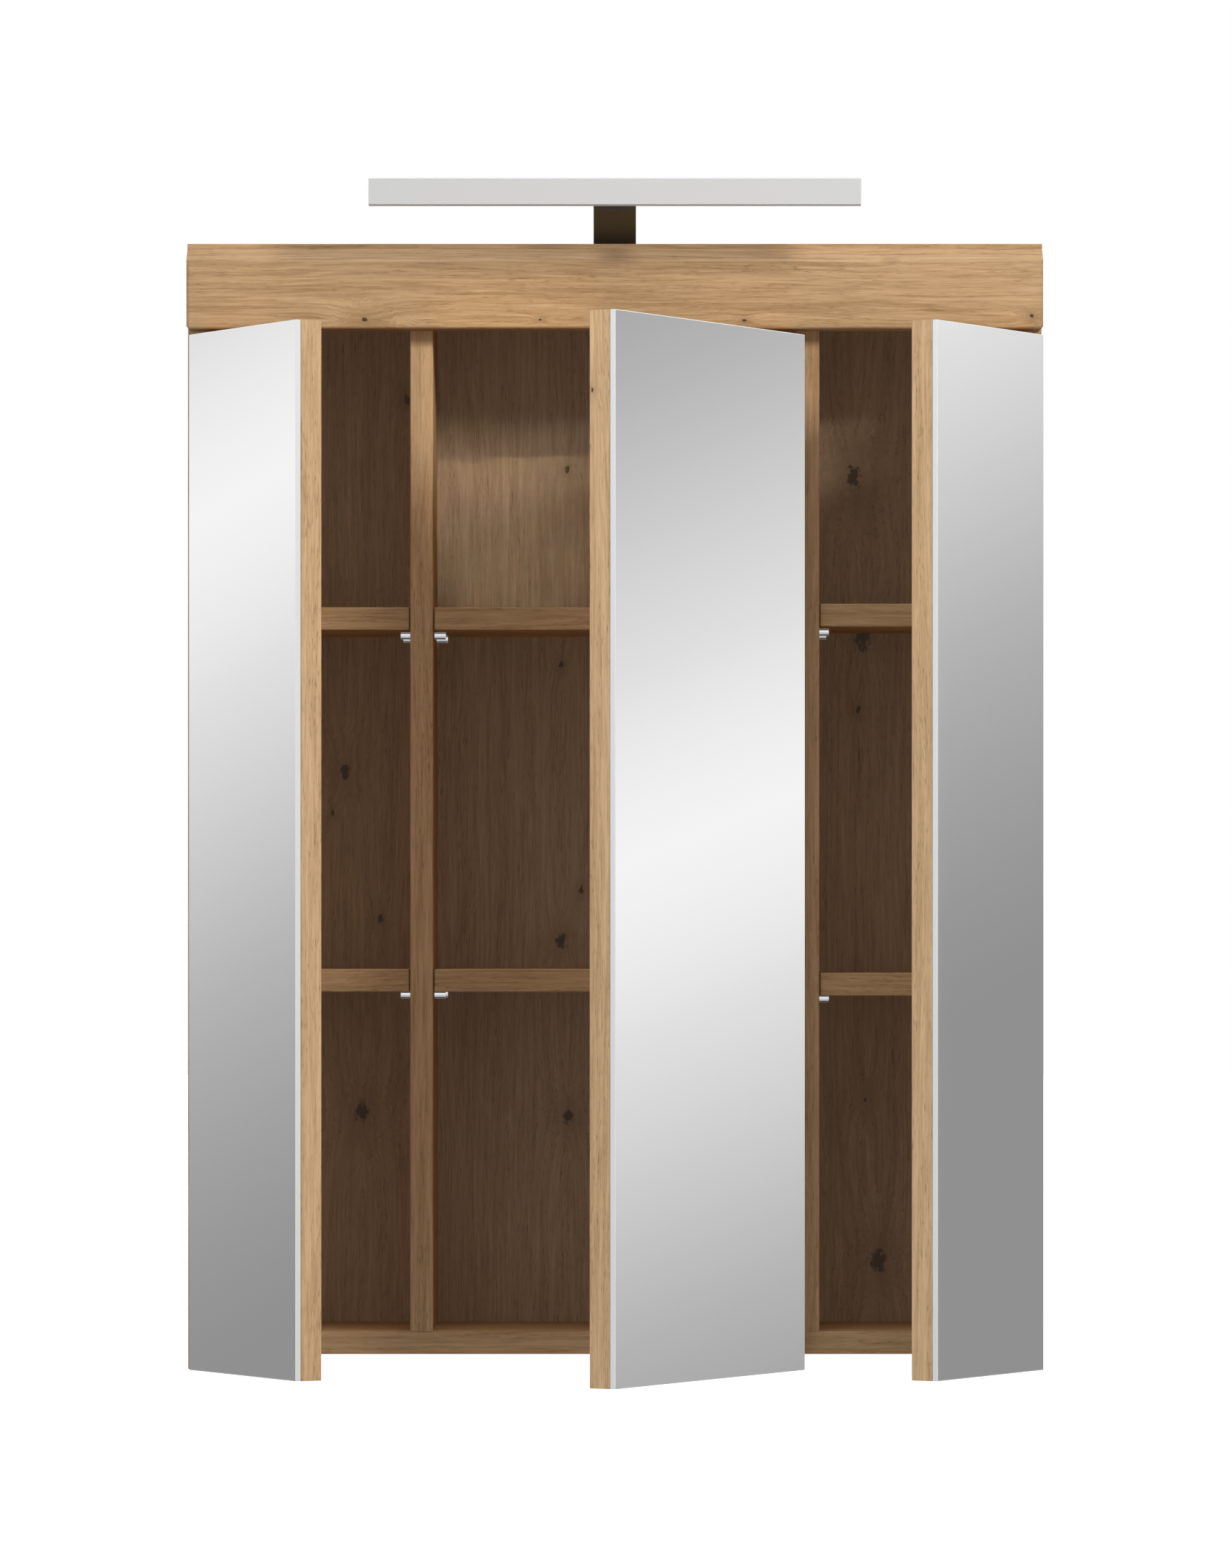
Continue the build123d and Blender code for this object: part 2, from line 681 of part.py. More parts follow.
# The lamp's profile, a channel that is open below
lamp_low, lamp_high = rise(lamp_z)
lamp_y = (-lamp_front, -lamp_front + lamp_depth)
lamp_half = lamp_length / 2
with BuildPart() as lamp_housing:
    block((-lamp_half + lamp_cap, lamp_half - lamp_cap), lamp_y, (lamp_low, lamp_high))
    fillet(lamp_housing.edges().filter_by(Axis.X).group_by(Axis.Z)[-1], lamp_soft_edge)
    block((-lamp_half, lamp_half), (lamp_y[0] + lamp_wall, lamp_y[1] - lamp_wall),
          (lamp_low, lamp_high - lamp_wall), mode=Mode.SUBTRACT)
save(lamp_housing, "lamp_housing")

with BuildPart() as lamp_caps:
    for side in (-1, 1):
        cap_x = sorted((side * (lamp_half - lamp_cap), side * lamp_half))
        block(cap_x, lamp_y, (lamp_low, lamp_high))
    fillet(lamp_caps.edges().filter_by(Axis.X).group_by(Axis.Z)[-1], lamp_soft_edge)
save(lamp_caps, "lamp_end_caps")

inside_y = (lamp_y[0] + lamp_wall, lamp_y[1] - lamp_wall)
with BuildPart() as diffuser:
    block((-lamp_half + lamp_cap, lamp_half - lamp_cap), inside_y,
          (lamp_low + diffuser_inset, lamp_low + diffuser_inset + diffuser_thickness))
save(diffuser, "lamp_diffuser")

lamp_centre_y = sum(lamp_y) / 2
with BuildPart() as led_strip:
    strip_top = lamp_high - lamp_wall
    block((-lamp_half + led_end_gap, lamp_half - led_end_gap),
          (lamp_centre_y - led_width / 2, lamp_centre_y + led_width / 2),
          (strip_top - led_thickness, strip_top))
    chip_z = strip_top - led_thickness - led_chip_height / 2
    with Locations((0, lamp_centre_y, chip_z)):
        with GridLocations(led_pitch, led_pitch, led_count, 1):
            Box(led_chip, led_chip, led_chip_height)
save(led_strip, "led_strip")

# The upright neck on its foot, behind the cornice
neck_y = (-neck_front, -neck_front + neck_depth)
with BuildPart() as lamp_neck:
    block((-neck_width / 2, neck_width / 2), neck_y, rise((height, neck_top_z)))
    fillet(lamp_neck.edges().filter_by(Axis.Z), neck_corner)
    block((-neck_width / 2, neck_width / 2), (neck_y[0] + neck_corner, neck_y[0] + foot_length),
          rise((height, height + foot_thickness)))
    for y in foot_screw_y:
        rod((0, y, height + floor_z), (0, 0, 1), wood_screw_radius, foot_thickness,
            mode=Mode.SUBTRACT)
save(lamp_neck, "lamp_neck")

with BuildPart() as lamp_collar:
    block((-neck_width / 2, neck_width / 2), neck_y, rise((neck_top_z, collar_top_z)))
save(lamp_collar, "lamp_collar")

# The flat bar from the collar forward to the back of the lamp
arm_screw_y = (neck_y[0] + neck_y[1]) / 2
with BuildPart() as lamp_bar:
    block((-arm_bar_width / 2, arm_bar_width / 2), (lamp_y[1], neck_y[1]),
          rise((collar_top_z, collar_top_z + arm_bar_thickness)))
    chamfer(lamp_bar.edges().filter_by(Axis.Y), arm_bar_edge)
    for x in (-arm_bar_screw_x, arm_bar_screw_x):
        rod((x, arm_screw_y, collar_top_z + floor_z), (0, 0, 1), arm_bar_screw_radius + fit_play,
            arm_bar_thickness, mode=Mode.SUBTRACT)
save(lamp_bar, "lamp_arm")

with BuildPart() as lamp_screws:
    for y in foot_screw_y:
        head = (0, y, height + foot_thickness + floor_z)
        rod(head, (0, 0, 1), wood_screw_head, wood_screw_head_height)
        rod(head, (0, 0, -1), wood_screw_radius - fit_play, wood_screw_length)
        cross_recess((0, y, head[2] + wood_screw_head_height), (0, 0, 1), screw_recess)
    for x in (-arm_bar_screw_x, arm_bar_screw_x):
        head = (x, arm_screw_y, collar_top_z + arm_bar_thickness + floor_z)
        rod(head, (0, 0, 1), arm_bar_screw_head, arm_bar_screw_head_height)
        rod(head, (0, 0, -1), arm_bar_screw_radius, arm_bar_thickness)
save(lamp_screws, "lamp_screws")

# The gland at the back of the neck, where the supply cable would enter
with BuildPart() as gland:
    with BuildSketch(Plane(origin=(0, neck_y[1], gland_z + floor_z), z_dir=(0, 1, 0))):
        Circle(gland_radius)
    with BuildSketch(Plane(origin=(0, neck_y[1] + gland_length, gland_z + floor_z),
                           z_dir=(0, 1, 0))):
        Circle(gland_tip_radius)
    loft()
    rod((0, neck_y[1] + gland_floor, gland_z + floor_z), (0, 1, 0), gland_bore, gland_length,
        mode=Mode.SUBTRACT)
save(gland, "lamp_cable_gland")
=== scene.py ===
"""Looks of the wall mirror cabinet: oak, mirrors, metal fittings, lamp, studio and camera.

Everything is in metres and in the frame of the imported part: +Z up, +Y into the wall, the origin at
the centre of the top panel's rear edge.
"""

import logging
import math
from dataclasses import dataclass
from enum import Enum

import bmesh
import bpy
from mathutils import Matrix, Vector

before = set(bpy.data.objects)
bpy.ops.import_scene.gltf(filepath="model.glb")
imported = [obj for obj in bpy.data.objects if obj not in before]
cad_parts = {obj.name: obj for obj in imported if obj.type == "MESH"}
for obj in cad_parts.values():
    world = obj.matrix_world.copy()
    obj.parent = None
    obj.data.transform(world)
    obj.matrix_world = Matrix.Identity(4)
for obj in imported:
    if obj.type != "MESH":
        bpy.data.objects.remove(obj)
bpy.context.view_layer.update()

LOG = logging.getLogger("mirror_cabinet")

Colour = tuple[float, float, float]
Point = tuple[float, float, float]

WHITE = (1.0, 1.0, 1.0, 1.0)
BLACK = (0.0, 0.0, 0.0)
COLUMNS = ("left", "middle", "right")


class Grain(Enum):
    """The way the oak's grain runs on a piece, as the turn that brings it to the pattern's X."""

    LEVEL = (0.0, 0.0, 0.0)
    UPRIGHT = (0.0, math.pi / 2, 0.0)


class Side(Enum):
    """The side that a mirror looks to when its door stands open."""

    LEFT = -1
    RIGHT = 1


@dataclass(frozen=True)
class NoiseLayer:
    """One layer of noise: its cycles per metre along and across the grain, and its share."""

    along: float
    across: float
    detail: float = 2.0
    roughness: float = 0.5
    share: float = 1.0


# The oak's pattern: how it wanders, the layers of its tone from broad to fine, and its pores
DRIFT = NoiseLayer(1.8, 9.0, 3.0)
DRIFT_REACH = 0.022
BROAD = NoiseLayer(1.6, 17.0, 2.0, share=0.36)
BANDS = NoiseLayer(6.0, 150.0, 4.0, 0.62, 0.50)
FIBRES = NoiseLayer(17.0, 430.0, 3.0, 0.65, 0.62)
STREAKS = NoiseLayer(30.0, 820.0, 3.0, 0.6, 0.56)
TONE_MIDDLE = 1.02
TONE_GAIN = 2.9
PORES = NoiseLayer(120.0, 1500.0, 1.0)
PORE_RANGE = (0.58, 0.70)
PORE_BANDS = (0.38, 0.62, 0.25, 1.0)
PORE_SHARE = 0.55
OAK_ROUGHNESS = 0.43
STREAK_ROUGHNESS = 0.16
PORE_ROUGHNESS = 0.15
STREAK_HEIGHT = 0.35

# Knots: longer along the grain, with a ragged heart and a halo that bends the grain
KNOT_EDGE = NoiseLayer(190.0, 260.0, 3.0, 0.6)
KNOT_SQUEEZE = 0.62
HEART_RAGGED = 2.6
HEART_RANGE = (1.25, 0.55)
HALO_RANGE = (1.15, 0.0)
HALO_SHARE = 0.55
HALO_DARKNESS = 0.35
HEART_SHARE = 0.88
HEART_COLOUR = (0.035, 0.018, 0.009)
PUSH_SHARE = 0.38

# The fine skin of metal, paint and plastic
FINE_DETAIL = 3.0
FINE_ROUGHNESS = 0.6
PATCHES = NoiseLayer(35.0, 35.0, 3.0)
FINE_SHARE = 0.6
PATCH_SHARE = 0.4


def place(tree: bpy.types.NodeTree, kind: str, inputs: dict | None = None,
          **settings: object) -> bpy.types.Node:
    """Add a node to a tree.

    Args:
        tree: The node tree.
        kind: Blender's name of the node type.
        inputs: Socket name or number, with a value for it or an output that feeds it.
        settings: Properties of the node itself.

    Returns:
        The new node.
    """
    node = tree.nodes.new(kind)
    for name, value in settings.items():
        setattr(node, name, value)
    for key, value in (inputs or {}).items():
        if isinstance(value, bpy.types.NodeSocket):
            tree.links.new(value, node.inputs[key])
        else:
            node.inputs[key].default_value = value
    return node


def maths(tree: bpy.types.NodeTree, operation: str, *values: object,
          clamp: bool = False) -> bpy.types.NodeSocket:
    """Add one sum of numbers.

    Args:
        tree: The node tree.
        operation: Blender's name of the sum.
        values: Numbers, or outputs that feed them.
        clamp: Whether the result is kept between 0 and 1.

    Returns:
        The result's socket.
    """
    node = place(tree, "ShaderNodeMath", dict(enumerate(values)), operation=operation,
                 use_clamp=clamp)
    return node.outputs[0]


def vectors(tree: bpy.types.NodeTree, operation: str, *values: object,
            result: str = "Vector") -> bpy.types.NodeSocket:
    """Add one sum of vectors.

    Args:
        tree: The node tree.
        operation: Blender's name of the sum.
        values: Vectors, or outputs that feed them.
        result: The output that is wanted.

    Returns:
        The result's socket.
    """
    node = place(tree, "ShaderNodeVectorMath", dict(enumerate(values)), operation=operation)
    return node.outputs[result]


def remap(tree: bpy.types.NodeTree, value: bpy.types.NodeSocket, low: float, high: float,
          to_low: float = 0.0, to_high: float = 1.0) -> bpy.types.NodeSocket:
    """Ease a number from one range into another, clamped at both ends.

    Args:
        tree: The node tree.
        value: The number.
        low: The value that gives to_low.
        high: The value that gives to_high.
        to_low: The first end of the result.
        to_high: The other end of the result.

    Returns:
        The result's socket.
    """
    node = place(tree, "ShaderNodeMapRange",
                 {"Value": value, "From Min": low, "From Max": high, "To Min": to_low,
                  "To Max": to_high}, interpolation_type="SMOOTHSTEP")
    return node.outputs["Result"]


def blend_colours(tree: bpy.types.NodeTree, share: object, first: object,
                  second: object) -> bpy.types.NodeSocket:
    """Mix two colours.

    Args:
        tree: The node tree.
        share: The second colour's share, from 0 to 1, or an output that feeds it.
        first: A colour, or an output that feeds it.
        second: The other colour.

    Returns:
        The mixed colour's socket.
    """
    node = place(tree, "ShaderNodeMix", data_type="RGBA", blend_type="MIX")
    for socket, value in ((node.inputs[0], share), (node.inputs[6], first),
                          (node.inputs[7], second)):
        if isinstance(value, bpy.types.NodeSocket):
            tree.links.new(value, socket)
        else:
            socket.default_value = value if isinstance(value, float) else (*value, 1.0)
    return node.outputs[2]


def cloud(tree: bpy.types.NodeTree, vector: bpy.types.NodeSocket, stretch: object,
          detail: float, roughness: float) -> bpy.types.NodeSocket:
    """Add a noise pattern.

    Args:
        tree: The node tree.
        vector: The place on the piece.
        stretch: Cycles per metre on each axis, or an output that feeds them.
        detail: The noise's detail.
        roughness: The noise's roughness.

    Returns:
        The noise's socket.
    """
    scaled = vectors(tree, "MULTIPLY", vector, stretch)
    node = place(tree, "ShaderNodeTexNoise",
                 {"Vector": scaled, "Scale": 1.0, "Detail": detail, "Roughness": roughness})
    return node.outputs[0]


def layer_of(tree: bpy.types.NodeTree, vector: bpy.types.NodeSocket,
             layer: NoiseLayer) -> bpy.types.NodeSocket:
    """Add one noise layer that is stretched along X.

    Args:
        tree: The node tree.
        vector: The place in the pattern.
        layer: The layer's values.

    Returns:
        The noise's socket.
    """
    return cloud(tree, vector, (layer.along, layer.across, layer.across), layer.detail,
                 layer.roughness)


def new_group(name: str, inputs: dict[str, tuple], outputs: dict[str, str]) -> tuple:
    """Start a shader node group.

    Args:
        name: The group's name.
        inputs: Socket name, with its socket type and default value.
        outputs: Socket name, with its socket type.

    Returns:
        The tree, the input node's outputs and the output node's inputs.
    """
    tree = bpy.data.node_groups.new(name, "ShaderNodeTree")
    for label, (kind, default) in inputs.items():
        socket = tree.interface.new_socket(label, in_out="INPUT", socket_type=kind)
        socket.default_value = default
    for label, kind in outputs.items():
        tree.interface.new_socket(label, in_out="OUTPUT", socket_type=kind)
    entry = tree.nodes.new("NodeGroupInput")
    close = tree.nodes.new("NodeGroupOutput")
    return tree, entry.outputs, close.inputs


def knot_group() -> bpy.types.NodeTree:
    """Build the group for one knot: its dark heart, its halo and its push on the grain.

    Returns:
        The node group.
    """
    tree, given, result = new_group(
        "oak_knot",
        {"Vector": ("NodeSocketVector", (0, 0, 0)), "Centre": ("NodeSocketVector", (0, 0, 0)),
         "Heart": ("NodeSocketFloat", 0.003), "Halo": ("NodeSocketFloat", 0.012)},
        {"Heart": "NodeSocketFloat", "Halo": "NodeSocketFloat", "Push": "NodeSocketFloat"})
    away = vectors(tree, "SUBTRACT", given["Vector"], given["Centre"])
    parts = place(tree, "ShaderNodeSeparateXYZ", {0: away}).outputs
    squeezed = place(tree, "ShaderNodeCombineXYZ",
                     {0: maths(tree, "MULTIPLY", parts[0], KNOT_SQUEEZE), 1: parts[1],
                      2: parts[2]})
    far = vectors(tree, "LENGTH", squeezed.outputs[0], result="Value")
    wobble = maths(tree, "SUBTRACT", layer_of(tree, given["Vector"], KNOT_EDGE), 0.5)
    heart_wobble = maths(tree, "MULTIPLY", maths(tree, "MULTIPLY", wobble, given["Heart"]),
                         HEART_RAGGED)
    heart = maths(tree, "DIVIDE", maths(tree, "ADD", far, heart_wobble), given["Heart"])
    halo_wobble = maths(tree, "MULTIPLY", wobble, given["Halo"])
    halo = maths(tree, "DIVIDE", maths(tree, "ADD", far, halo_wobble), given["Halo"])
    tree.links.new(remap(tree, heart, *HEART_RANGE), result["Heart"])
    tree.links.new(remap(tree, halo, *HALO_RANGE), result["Halo"])
    fall = maths(tree, "MULTIPLY", maths(tree, "POWER", halo, 2.0), -1.0)
    bell = maths(tree, "POWER", math.e, fall)
    push = maths(tree, "MULTIPLY", maths(tree, "MULTIPLY", bell, given["Halo"]), PUSH_SHARE)
    sideways = maths(tree, "SIGN", parts[2])
    tree.links.new(maths(tree, "MULTIPLY", push, sideways), result["Push"])
    return tree


def grain_group() -> bpy.types.NodeTree:
    """Build the group for oak grain along the pattern's X axis.

    Returns:
        The node group.
    """
    tree, given, result = new_group(
        "oak_grain",
        {"Vector": ("NodeSocketVector", (0, 0, 0)), "Seed": ("NodeSocketFloat", 0.0),
         "Light": ("NodeSocketColor", (1, 1, 1, 1)), "Dark": ("NodeSocketColor", (0, 0, 0, 1)),
         "Pore": ("NodeSocketColor", (0, 0, 0, 1)), "Contrast": ("NodeSocketFloat", 1.0),
         "Heart": ("NodeSocketFloat", 0.0), "Halo": ("NodeSocketFloat", 0.0),
         "Push": ("NodeSocketFloat", 0.0)},
        {"Color": "NodeSocketColor", "Roughness": "NodeSocketFloat",
         "Height": "NodeSocketFloat"})
    seed = place(tree, "ShaderNodeCombineXYZ", {0: given["Seed"], 1: given["Seed"], 2: 0.0})
    start = vectors(tree, "ADD", given["Vector"], seed.outputs[0])
    drift = maths(tree, "MULTIPLY", maths(tree, "SUBTRACT", layer_of(tree, start, DRIFT), 0.5),
                  DRIFT_REACH)
    shift = place(tree, "ShaderNodeCombineXYZ",
                  {0: 0.0, 1: drift, 2: maths(tree, "ADD", drift, given["Push"])})
    bent = vectors(tree, "ADD", start, shift.outputs[0])

    # Tone: the sum of its layers, spread by the contrast between the two colours
    bands, streaks = layer_of(tree, bent, BANDS), layer_of(tree, bent, STREAKS)
    mix = maths(tree, "MULTIPLY", layer_of(tree, bent, BROAD), BROAD.share)
    for pattern, layer in ((bands, BANDS), (layer_of(tree, bent, FIBRES), FIBRES),
                           (streaks, STREAKS)):
        mix = maths(tree, "ADD", mix, maths(tree, "MULTIPLY", pattern, layer.share))
    mix = maths(tree, "MULTIPLY", maths(tree, "SUBTRACT", mix, TONE_MIDDLE), given["Contrast"])
    share = maths(tree, "ADD", maths(tree, "MULTIPLY", mix, TONE_GAIN), 0.5, clamp=True)
    colour = blend_colours(tree, share, given["Light"], given["Dark"])

    # Pores, mostly in the dark bands, and then the knots
    pits = maths(tree, "MULTIPLY", remap(tree, layer_of(tree, bent, PORES), *PORE_RANGE),
                 remap(tree, bands, *PORE_BANDS))
    pit_share = maths(tree, "MULTIPLY", pits,
                      maths(tree, "MULTIPLY", given["Contrast"], PORE_SHARE))
    colour = blend_colours(tree, pit_share, colour, given["Pore"])
    halo_colour = blend_colours(tree, HALO_DARKNESS, given["Dark"], given["Pore"])
    colour = blend_colours(tree, maths(tree, "MULTIPLY", given["Halo"], HALO_SHARE), colour,
                           halo_colour)
    colour = blend_colours(tree, maths(tree, "MULTIPLY", given["Heart"], HEART_SHARE), colour,
                           HEART_COLOUR)
    tree.links.new(colour, result["Color"])

    rough = maths(tree, "ADD", maths(tree, "MULTIPLY", streaks, STREAK_ROUGHNESS),
                  OAK_ROUGHNESS)
    tree.links.new(maths(tree, "ADD", rough, maths(tree, "MULTIPLY", pits, PORE_ROUGHNESS)),
                   result["Roughness"])
    height = maths(tree, "SUBTRACT", maths(tree, "MULTIPLY", streaks, STREAK_HEIGHT), pits)
    tree.links.new(maths(tree, "SUBTRACT", height, given["Heart"]), result["Height"])
    return tree


def skin_group() -> bpy.types.NodeTree:
    """Build the group for the fine skin of metal, paint and plastic: tone, gloss and relief.

    Returns:
        The node group.
    """
    tree, given, result = new_group(
        "fine_skin",
        {"Vector": ("NodeSocketVector", (0, 0, 0)), "Color": ("NodeSocketColor", (1, 1, 1, 1)),
         "Stretch": ("NodeSocketVector", (400, 400, 400)), "Gloss": ("NodeSocketFloat", 0.3),
         "Spread": ("NodeSocketFloat", 0.1), "Tone": ("NodeSocketFloat", 0.06)},
        {"Color": "NodeSocketColor", "Roughness": "NodeSocketFloat",
         "Height": "NodeSocketFloat"})
    fine = cloud(tree, given["Vector"], given["Stretch"], FINE_DETAIL, FINE_ROUGHNESS)
    both = maths(tree, "ADD", maths(tree, "MULTIPLY", fine, FINE_SHARE),
                 maths(tree, "MULTIPLY", layer_of(tree, given["Vector"], PATCHES), PATCH_SHARE))
    centred = maths(tree, "SUBTRACT", both, 0.5)
    share = maths(tree, "ADD", maths(tree, "MULTIPLY", centred, given["Tone"]), given["Tone"])
    tree.links.new(blend_colours(tree, share, given["Color"], BLACK), result["Color"])
    rough = maths(tree, "ADD", maths(tree, "MULTIPLY", centred, given["Spread"]),
                  given["Gloss"])
    tree.links.new(rough, result["Roughness"])
    tree.links.new(fine, result["Height"])
    return tree


KNOT = knot_group()
GRAIN = grain_group()
SKIN = skin_group()

SHEEN_RANGE = (0.45, 0.85)
# Painted reflection: full metals darken towards this colour as they turn edge-on
PAINTED_REFLECTION_RANGE = (0.22, 0.62)
PAINTED_REFLECTION_SHARE = 0.93
PAINTED_REFLECTION_COLOUR = (0.02, 0.016, 0.012)
FULL_METAL = 0.95
# Painted shade: the share of colour left at the lamp neck's foot
NECK_PAINTED_SHADE_TONE = 0.12
BUMP_STRENGTH = 0.6


def new_material(name: str) -> tuple:
    """Start a material.

    Args:
        name: The material's name.

    Returns:
        The material, its node tree and its Principled shader.
    """
    material = bpy.data.materials.new(name)
    material.use_nodes = True
    tree = material.node_tree
    shader = next(node for node in tree.nodes if node.type == "BSDF_PRINCIPLED")
    return material, tree, shader


def object_place(tree: bpy.types.NodeTree) -> bpy.types.NodeSocket:
    """Add the place on the piece, in the part's frame.

    Args:
        tree: The node tree.

    Returns:
        The place's socket.
    """
    return place(tree, "ShaderNodeTexCoord").outputs["Object"]


def edge_on(tree: bpy.types.NodeTree) -> bpy.types.NodeSocket:
    """Add how far the surface turns from the viewer, from 0 facing to 1 edge-on.

    Args:
        tree: The material's node tree.

    Returns:
        The value's socket.
    """
    return place(tree, "ShaderNodeLayerWeight", {"Blend": 0.5}).outputs["Facing"]


def add_relief(tree: bpy.types.NodeTree, shader: bpy.types.Node, height: bpy.types.NodeSocket,
               depth: float) -> None:
    """Feed a height through a Bump node.

    Args:
        tree: The material's node tree.
        shader: The material's Principled shader.
        height: The height's socket.
        depth: The depth of the relief in metres.
    """
    bump = place(tree, "ShaderNodeBump",
                 {"Height": height, "Strength": BUMP_STRENGTH, "Distance": depth})
    tree.links.new(bump.outputs[0], shader.inputs["Normal"])


@dataclass(frozen=True)
class Knot:
    """One knot in a board: its place in the part's frame and its two radii."""

    at: Point
    heart: float = 0.0022
    halo: float = 0.012


@dataclass(frozen=True)
class OakFinish:
    """Light oak foil with a satin coat."""

    name: str
    grain: Grain
    seed: float
    light: Colour = (0.63, 0.415, 0.232)
    dark: Colour = (0.42, 0.255, 0.122)
    pore: Colour = (0.21, 0.115, 0.050)
    contrast: float = 1.0
    relief: float = 0.00006
    sheen: float = 0.25
    knots: tuple[Knot, ...] = ()

    def make(self) -> bpy.types.Material:
        """Build the material.

        Returns:
            The material.
        """
        material, tree, shader = new_material(self.name)
        turned = place(tree, "ShaderNodeMapping",
                       {"Vector": object_place(tree), "Rotation": self.grain.value})
        pattern = turned.outputs[0]
        turn = Matrix.Rotation(self.grain.value[1], 3, "Y")
        heart, halo, push = 0.0, 0.0, 0.0
        for knot in self.knots:
            one = place(tree, "ShaderNodeGroup",
                        {"Vector": pattern, "Centre": turn @ Vector(knot.at),
                         "Heart": knot.heart, "Halo": knot.halo}, node_tree=KNOT)
            heart = maths(tree, "MAXIMUM", heart, one.outputs["Heart"])
            halo = maths(tree, "MAXIMUM", halo, one.outputs["Halo"])
            push = maths(tree, "ADD", push, one.outputs["Push"])
        oak = place(tree, "ShaderNodeGroup",
                    {"Vector": pattern, "Seed": self.seed, "Light": (*self.light, 1.0),
                     "Dark": (*self.dark, 1.0), "Pore": (*self.pore, 1.0),
                     "Contrast": self.contrast, "Heart": heart, "Halo": halo, "Push": push},
                    node_tree=GRAIN)
        tree.links.new(oak.outputs["Color"], shader.inputs["Base Color"])
        tree.links.new(oak.outputs["Roughness"], shader.inputs["Roughness"])
        tree.links.new(remap(tree, edge_on(tree), *SHEEN_RANGE, self.sheen, 0.0),
                       shader.inputs["Specular IOR Level"])
        add_relief(tree, shader, oak.outputs["Height"], self.relief)
        return material


@dataclass(frozen=True)
class SkinFinish:
    """A metal, paint or plastic with a fine skin.

    Where heights for painted shade are given, the piece darkens between them, downwards, as painted
    shade.
    """

    name: str
    colour: Colour
    gloss: float
    metallic: float = 0.0
    spread: float = 0.1
    tone: float = 0.06
    stretch: Point = (400.0, 400.0, 400.0)
    relief: float = 0.00002
    painted_shade_below: tuple[float, float] | None = None

    def make(self) -> bpy.types.Material:
        """Build the material.

        Returns:
            The material.
        """
        material, tree, shader = new_material(self.name)
        skin = place(tree, "ShaderNodeGroup",
                     {"Vector": object_place(tree), "Color": (*self.colour, 1.0),
                      "Stretch": self.stretch, "Gloss": self.gloss, "Spread": self.spread,
                      "Tone": self.tone}, node_tree=SKIN)
        colour = skin.outputs["Color"]
        # Painted shade: the colour darkens towards the bottom between the two heights
        if self.painted_shade_below is not None:
            height = place(tree, "ShaderNodeSeparateXYZ", {0: object_place(tree)}).outputs[2]
            clear = remap(tree, height, *self.painted_shade_below, NECK_PAINTED_SHADE_TONE, 1.0)
            colour = blend_colours(tree, clear, BLACK, colour)
        # Painted reflection: full metals darken as they turn edge-on, standing in for the dark wood
        # around them
        if self.metallic > FULL_METAL:
            painted_reflection = remap(tree, edge_on(tree), *PAINTED_REFLECTION_RANGE, 0.0, PAINTED_REFLECTION_SHARE)
            colour = blend_colours(tree, painted_reflection, colour, PAINTED_REFLECTION_COLOUR)
        tree.links.new(colour, shader.inputs["Base Color"])
        tree.links.new(skin.outputs["Roughness"], shader.inputs["Roughness"])
        shader.inputs["Metallic"].default_value = self.metallic
        add_relief(tree, shader, skin.outputs["Height"], self.relief)
        return material


@dataclass(frozen=True)
class MirrorFinish:
    """Silvered glass: a mirror in front, and pale polished glass along its edges."""

    name: str
    facing: Point
    face_at: float
    silver: Colour = (0.935, 0.935, 0.935)
    glass_edge: Colour = (0.85, 0.88, 0.88)
    edge_starts: float = 0.0001
    edge_width: float = 0.0002
    edge_roughness: float = 0.14
    haze_stretch: Point = (7.0, 7.0, 5.0)
    haze_detail: float = 4.0
    haze_roughness: float = 0.6
    haze_share: float = 0.03
    haze_colour: Colour = (0.82, 0.82, 0.82)

    def make(self) -> bpy.types.Material:
        """Build the material, whose edge begins a set depth behind the mirror's face.

        Returns:
            The material.
        """
        material, tree, shader = new_material(self.name)
        spot = object_place(tree)
        along = vectors(tree, "DOT_PRODUCT", spot, self.facing, result="Value")
        depth = maths(tree, "SUBTRACT", self.face_at, along)
        edge = remap(tree, depth, self.edge_starts, self.edge_starts + self.edge_width)
        haze = maths(tree, "MULTIPLY",
                     cloud(tree, spot, self.haze_stretch, self.haze_detail,
                           self.haze_roughness), self.haze_share)
        silver = blend_colours(tree, haze, self.silver, self.haze_colour)
        tree.links.new(blend_colours(tree, edge, silver, self.glass_edge),
                       shader.inputs["Base Color"])
        tree.links.new(maths(tree, "SUBTRACT", 1.0, edge), shader.inputs["Metallic"])
        edge_part = maths(tree, "MULTIPLY", edge, self.edge_roughness)
        tree.links.new(maths(tree, "ADD", haze, edge_part), shader.inputs["Roughness"])
        return material


def dress(node: str, material: bpy.types.Material) -> None:
    """Give one CAD node a material, and leave it out of the mirrors.

    Args:
        node: The CAD node's name.
        material: Its material.
    """
    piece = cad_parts[node]
    piece.data.materials.clear()
    piece.data.materials.append(material)
    piece.visible_glossy = False
    LOG.info("dressed %s in %s", node, material.name)


def as_seen(view: "PhotoView", column: float, row: float, plane_y: float) -> Point:
    """Find the point of an upright plane that the photograph shows at a pixel.

    Args:
        view: The photograph's view.
        column: The pixel's column.
        row: The pixel's row.
        plane_y: The plane's place in the part's frame.

    Returns:
        The point in the part's frame.
    """
    scale = (plane_y - view.eye[1]) / view.focal_pixels
    return ((column - view.axis_column) * scale + view.eye[0], plane_y,
            view.eye[2] - (row - view.axis_row) * scale)


